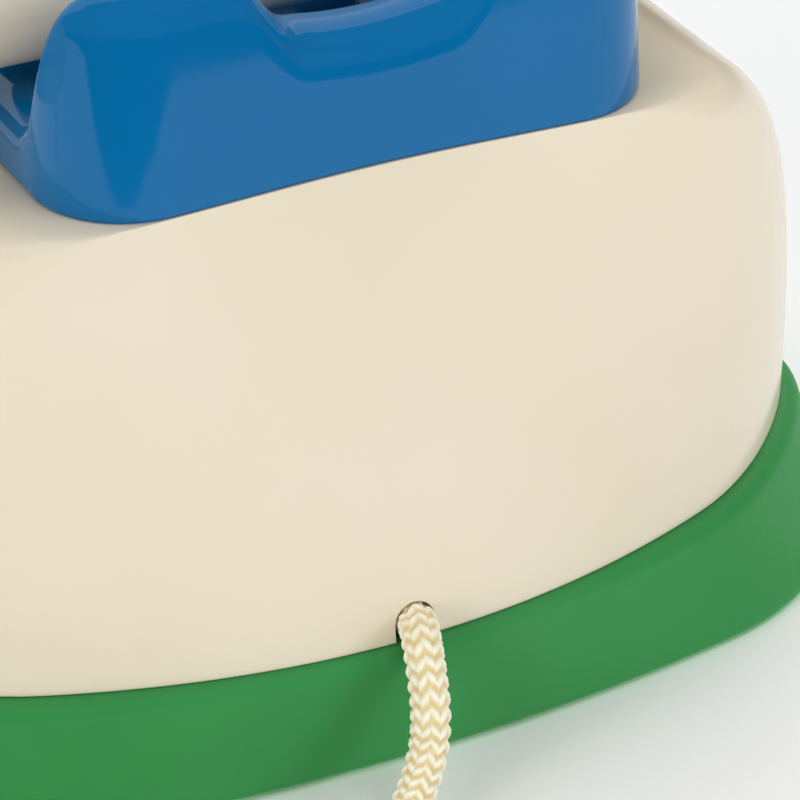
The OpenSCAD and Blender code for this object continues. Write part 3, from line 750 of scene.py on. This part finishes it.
def noise(tree, scale, detail=4.0, roughness=0.5):
    place = tree.nodes.new("ShaderNodeTexCoord")
    node = tree.nodes.new("ShaderNodeTexNoise")
    node.inputs["Scale"].default_value = scale
    node.inputs["Detail"].default_value = detail
    node.inputs["Roughness"].default_value = roughness
    tree.links.new(place.outputs["Object"], node.inputs["Vector"])
    return node.outputs["Fac"]


def number_ramp(tree, source, low, high, target):
    node = tree.nodes.new("ShaderNodeMapRange")
    node.inputs["From Min"].default_value = RAMP_START
    node.inputs["From Max"].default_value = RAMP_END
    node.inputs["To Min"].default_value = low
    node.inputs["To Max"].default_value = high
    tree.links.new(source, node.inputs["Value"])
    tree.links.new(node.outputs["Result"], target)


def colour_ramp(tree, source, low, high, target, start=RAMP_START, end=RAMP_END):
    node = tree.nodes.new("ShaderNodeValToRGB")
    node.color_ramp.elements[0].position = start
    node.color_ramp.elements[0].color = linear(*low)
    node.color_ramp.elements[1].position = end
    node.color_ramp.elements[1].color = linear(*high)
    tree.links.new(source, node.inputs["Fac"])
    tree.links.new(node.outputs["Color"], target)


def roughen(tree, source, strength, depth, target):
    bump = tree.nodes.new("ShaderNodeBump")
    bump.inputs["Strength"].default_value = strength
    bump.inputs["Distance"].default_value = depth
    tree.links.new(source, bump.inputs["Height"])
    tree.links.new(bump.outputs["Normal"], target)


def plastic(name, low, high, rough, peel=0.02, grain=GRAIN_SCALE, gloss=0.5):
    """Moulded plastic with slight clouding, uneven gloss and a fine surface grain."""
    material, tree, bsdf = shader(name)
    colour_ramp(tree, noise(tree, CLOUD_SCALE, 3), low, high, bsdf.inputs["Base Color"])
    number_ramp(tree, noise(tree, SMEAR_SCALE, 5, 0.6), *rough, bsdf.inputs["Roughness"])
    roughen(tree, noise(tree, grain, 2), peel, GRAIN_DEPTH, bsdf.inputs["Normal"])
    bsdf.inputs["IOR"].default_value = PLASTIC_IOR
    bsdf.inputs["Specular IOR Level"].default_value = gloss
    return material


def base_finish():
    """Matte green, with a thin band along the foot painted lighter: a painted highlight that stands for the
    pale floor's light on the foot's rounding.
    """
    material = plastic("green_matte", (48, 138, 69), (54, 144, 75), (0.42, 0.55), 0.12, 700, 0.35)
    tree = material.node_tree
    colour = tree.nodes["Principled BSDF"].inputs["Base Color"]
    plain = colour.links[0].from_socket
    place = tree.nodes.new("ShaderNodeTexCoord")
    split = tree.nodes.new("ShaderNodeSeparateXYZ")
    tree.links.new(place.outputs["Object"], split.inputs["Vector"])
    # Mask of the painted highlight: a thin band just above the floor
    highlight_band = tree.nodes.new("ShaderNodeMath")
    highlight_band.operation = "COMPARE"
    highlight_band.inputs[1].default_value = FOOT_HIGHLIGHT_Z * MM
    highlight_band.inputs[2].default_value = FOOT_HIGHLIGHT_HALF * MM
    tree.links.new(split.outputs["Z"], highlight_band.inputs[0])
    highlight_mix = tree.nodes.new("ShaderNodeMix")
    highlight_mix.data_type = "RGBA"
    # Colour of the painted highlight along the foot
    highlight_mix.inputs[7].default_value = linear(76, 196, 104)
    tree.links.new(highlight_band.outputs["Value"], highlight_mix.inputs[0])
    tree.links.new(plain, highlight_mix.inputs[6])
    tree.links.new(highlight_mix.outputs[2], colour)
    return material


def steel_finish():
    material, tree, bsdf = shader("bright_steel")
    number_ramp(tree, noise(tree, STREAK_SCALE, 3), 0.22, 0.38, bsdf.inputs["Roughness"])
    colour_ramp(tree, noise(tree, TARNISH_SCALE), (176, 178, 182), (206, 207, 208), bsdf.inputs["Base Color"])
    bsdf.inputs["Metallic"].default_value = 1.0
    return material


def cord_finish():
    """Cotton painted darker in the grooves between its strands and lighter on their ridges, as painted shade
    and painted highlight, by the height that the braid keeps as an attribute, with a random tone mixed in.
    """
    material, tree, bsdf = shader("cotton_braid")
    height = tree.nodes.new("ShaderNodeAttribute")
    height.attribute_name = "ridge_shade"
    tone_and_shade = tree.nodes.new("ShaderNodeMath")
    tone_and_shade.operation = "MULTIPLY_ADD"
    tone_and_shade.inputs[1].default_value = YARN_UNEVEN
    tree.links.new(noise(tree, YARN_SCALE, 2), tone_and_shade.inputs[0])
    tree.links.new(height.outputs["Fac"], tone_and_shade.inputs[2])
    # Tan is painted shade between the strands and near white is a painted highlight on their ridges
    colour_ramp(tree, tone_and_shade.outputs["Value"], (229, 207, 146), (255, 249, 226), bsdf.inputs["Base Color"],
                SHADE_RAMP_START, SHADE_RAMP_END)
    fibre = noise(tree, FIBRE_SCALE, 3, 0.6)
    roughen(tree, fibre, FIBRE_STRENGTH, FIBRE_DEPTH, bsdf.inputs["Normal"])
    number_ramp(tree, fibre, 0.5, 0.75, bsdf.inputs["Roughness"])
    bsdf.inputs["Sheen Weight"].default_value = YARN_SHEEN
    return material


# Numbers on the dial, one under each finger hole
def make_numbers(material):
    vertices = []
    faces = []
    for i in range(FINGER_COUNT):
        curve = bpy.data.curves.new("digit", "FONT")
        curve.body = str((i + 1) % 10)
        curve.size = DIGIT_SIZE * MM
        curve.extrude = DIGIT_THICK * MM
        curve.align_x = "CENTER"
        curve.align_y = "CENTER"
        digit = bpy.data.objects.new("digit", curve)
        scene.collection.objects.link(digit)
        turn = math.radians(FINGER_STEP * (i + 1))
        place = Vector((
            FINGER_PITCH_R * math.cos(turn), FINGER_PITCH_R * math.sin(turn), PLATE_TOP + DIGIT_LIFT))
        matrix = dial_matrix() @ Matrix.Translation(place)
        matrix.translation *= MM
        bpy.context.view_layer.update()
        graph = bpy.context.evaluated_depsgraph_get()
        mesh = bpy.data.meshes.new_from_object(digit.evaluated_get(graph))
        mesh.transform(matrix)
        start = len(vertices)
        vertices.extend(tuple(v.co / MM) for v in mesh.vertices)
        faces.extend(tuple(start + k for k in face.vertices) for face in mesh.polygons)
        bpy.data.objects.remove(digit)
    piece = new_object("dial_numbers", vertices, faces, material)
    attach(piece, "telephone")


# Light and floor
def area_light(name, place, target, size, power, mirrored):
    data = bpy.data.lights.new(name, "AREA")
    data.shape = "RECTANGLE"
    data.size, data.size_y = size
    data.energy = power
    light = bpy.data.objects.new(name, data)
    light.location = place
    aim = Vector(target) - Vector(place)
    light.rotation_mode = "QUATERNION"
    light.rotation_quaternion = aim.to_track_quat("-Z", "Y")
    light.visible_glossy = mirrored
    light.visible_camera = False
    scene.collection.objects.link(light)


def make_floor():
    material, tree, bsdf = shader("pale_floor")
    cloud = noise(tree, FLOOR_CLOUD_SCALE, 2)
    colour_ramp(tree, cloud, (248, 248, 248), (251, 251, 251), bsdf.inputs["Base Color"])
    bsdf.inputs["Roughness"].default_value = FLOOR_ROUGHNESS
    corners = [(-FLOOR_HALF, -FLOOR_HALF, 0), (FLOOR_HALF, -FLOOR_HALF, 0),
               (FLOOR_HALF, FLOOR_HALF, 0), (-FLOOR_HALF, FLOOR_HALF, 0)]
    new_object("floor", corners, [(0, 1, 2, 3)], material)


def make_dark_card():
    """Dark card on the floor, seen only in the gloss, which gives the blue corner its deep reflection."""
    edge = [*CARD_EDGE, (FLOOR_HALF, FLOOR_HALF), (-FLOOR_HALF, FLOOR_HALF)]
    card = new_object("dark_card", [(x, y, CARD_LIFT) for x, y in edge], [tuple(range(len(edge)))],
                      plastic("dark_felt", (18, 18, 20), (26, 26, 28), (0.6, 0.7)))
    card.visible_camera = False
    card.visible_diffuse = False
    card.visible_shadow = False


def make_lights():
    world = bpy.data.worlds.new("studio")
    scene.world = world
    world.use_nodes = True
    sky = world.node_tree.nodes["Background"]
    sky.inputs["Color"].default_value = SKY_COLOUR
    sky.inputs["Strength"].default_value = SKY_STRENGTH
    for light in LIGHTS:
        area_light(*light)


def dress(material, *names):
    for name in names:
        mesh = nodes[name].data
        mesh.materials.clear()
        mesh.materials.append(material)


scene.view_settings.view_transform = "Standard"
make_camera()
make_cord(cord_finish())
cream = plastic("cream_gloss", (231, 219, 195), (235, 224, 202), (0.16, 0.24))
blue = plastic("blue_gloss", (2, 101, 157), (5, 106, 163), (0.04, 0.07), 0.006, gloss=0.3)
red = plastic("red_gloss", (196, 66, 44), (204, 74, 50), (0.16, 0.24))
yellow = plastic("yellow_gloss", (228, 172, 56), (236, 182, 64), (0.16, 0.26))
white = plastic("white_satin", (238, 232, 219), (244, 239, 227), (0.28, 0.4))
ink = plastic("dark_ink", (44, 52, 66), (52, 60, 74), (0.4, 0.5))
steel = steel_finish()
make_base(base_finish())
make_body(cream)
make_cradle(blue)
make_hook_spring(steel)
make_handset(cream)
make_numbers(ink)
dress(red, "finger_wheel")
dress(yellow, "dial_cap", "cord_sleeve")
dress(white, "hook_bar", "dial_plate", "click_wheel")
dress(steel, "spring_bracket", "bracket_screws", "dial_washer", "dial_screw", "click_spring",
      "click_spring_screw", "finger_stop", "handset_screws", "base_screws", "cradle_screws")
dress(cream, "earpiece_cap", "mouthpiece_cap", "base_knot", "handset_knot")
make_floor()
make_dark_card()
make_lights()
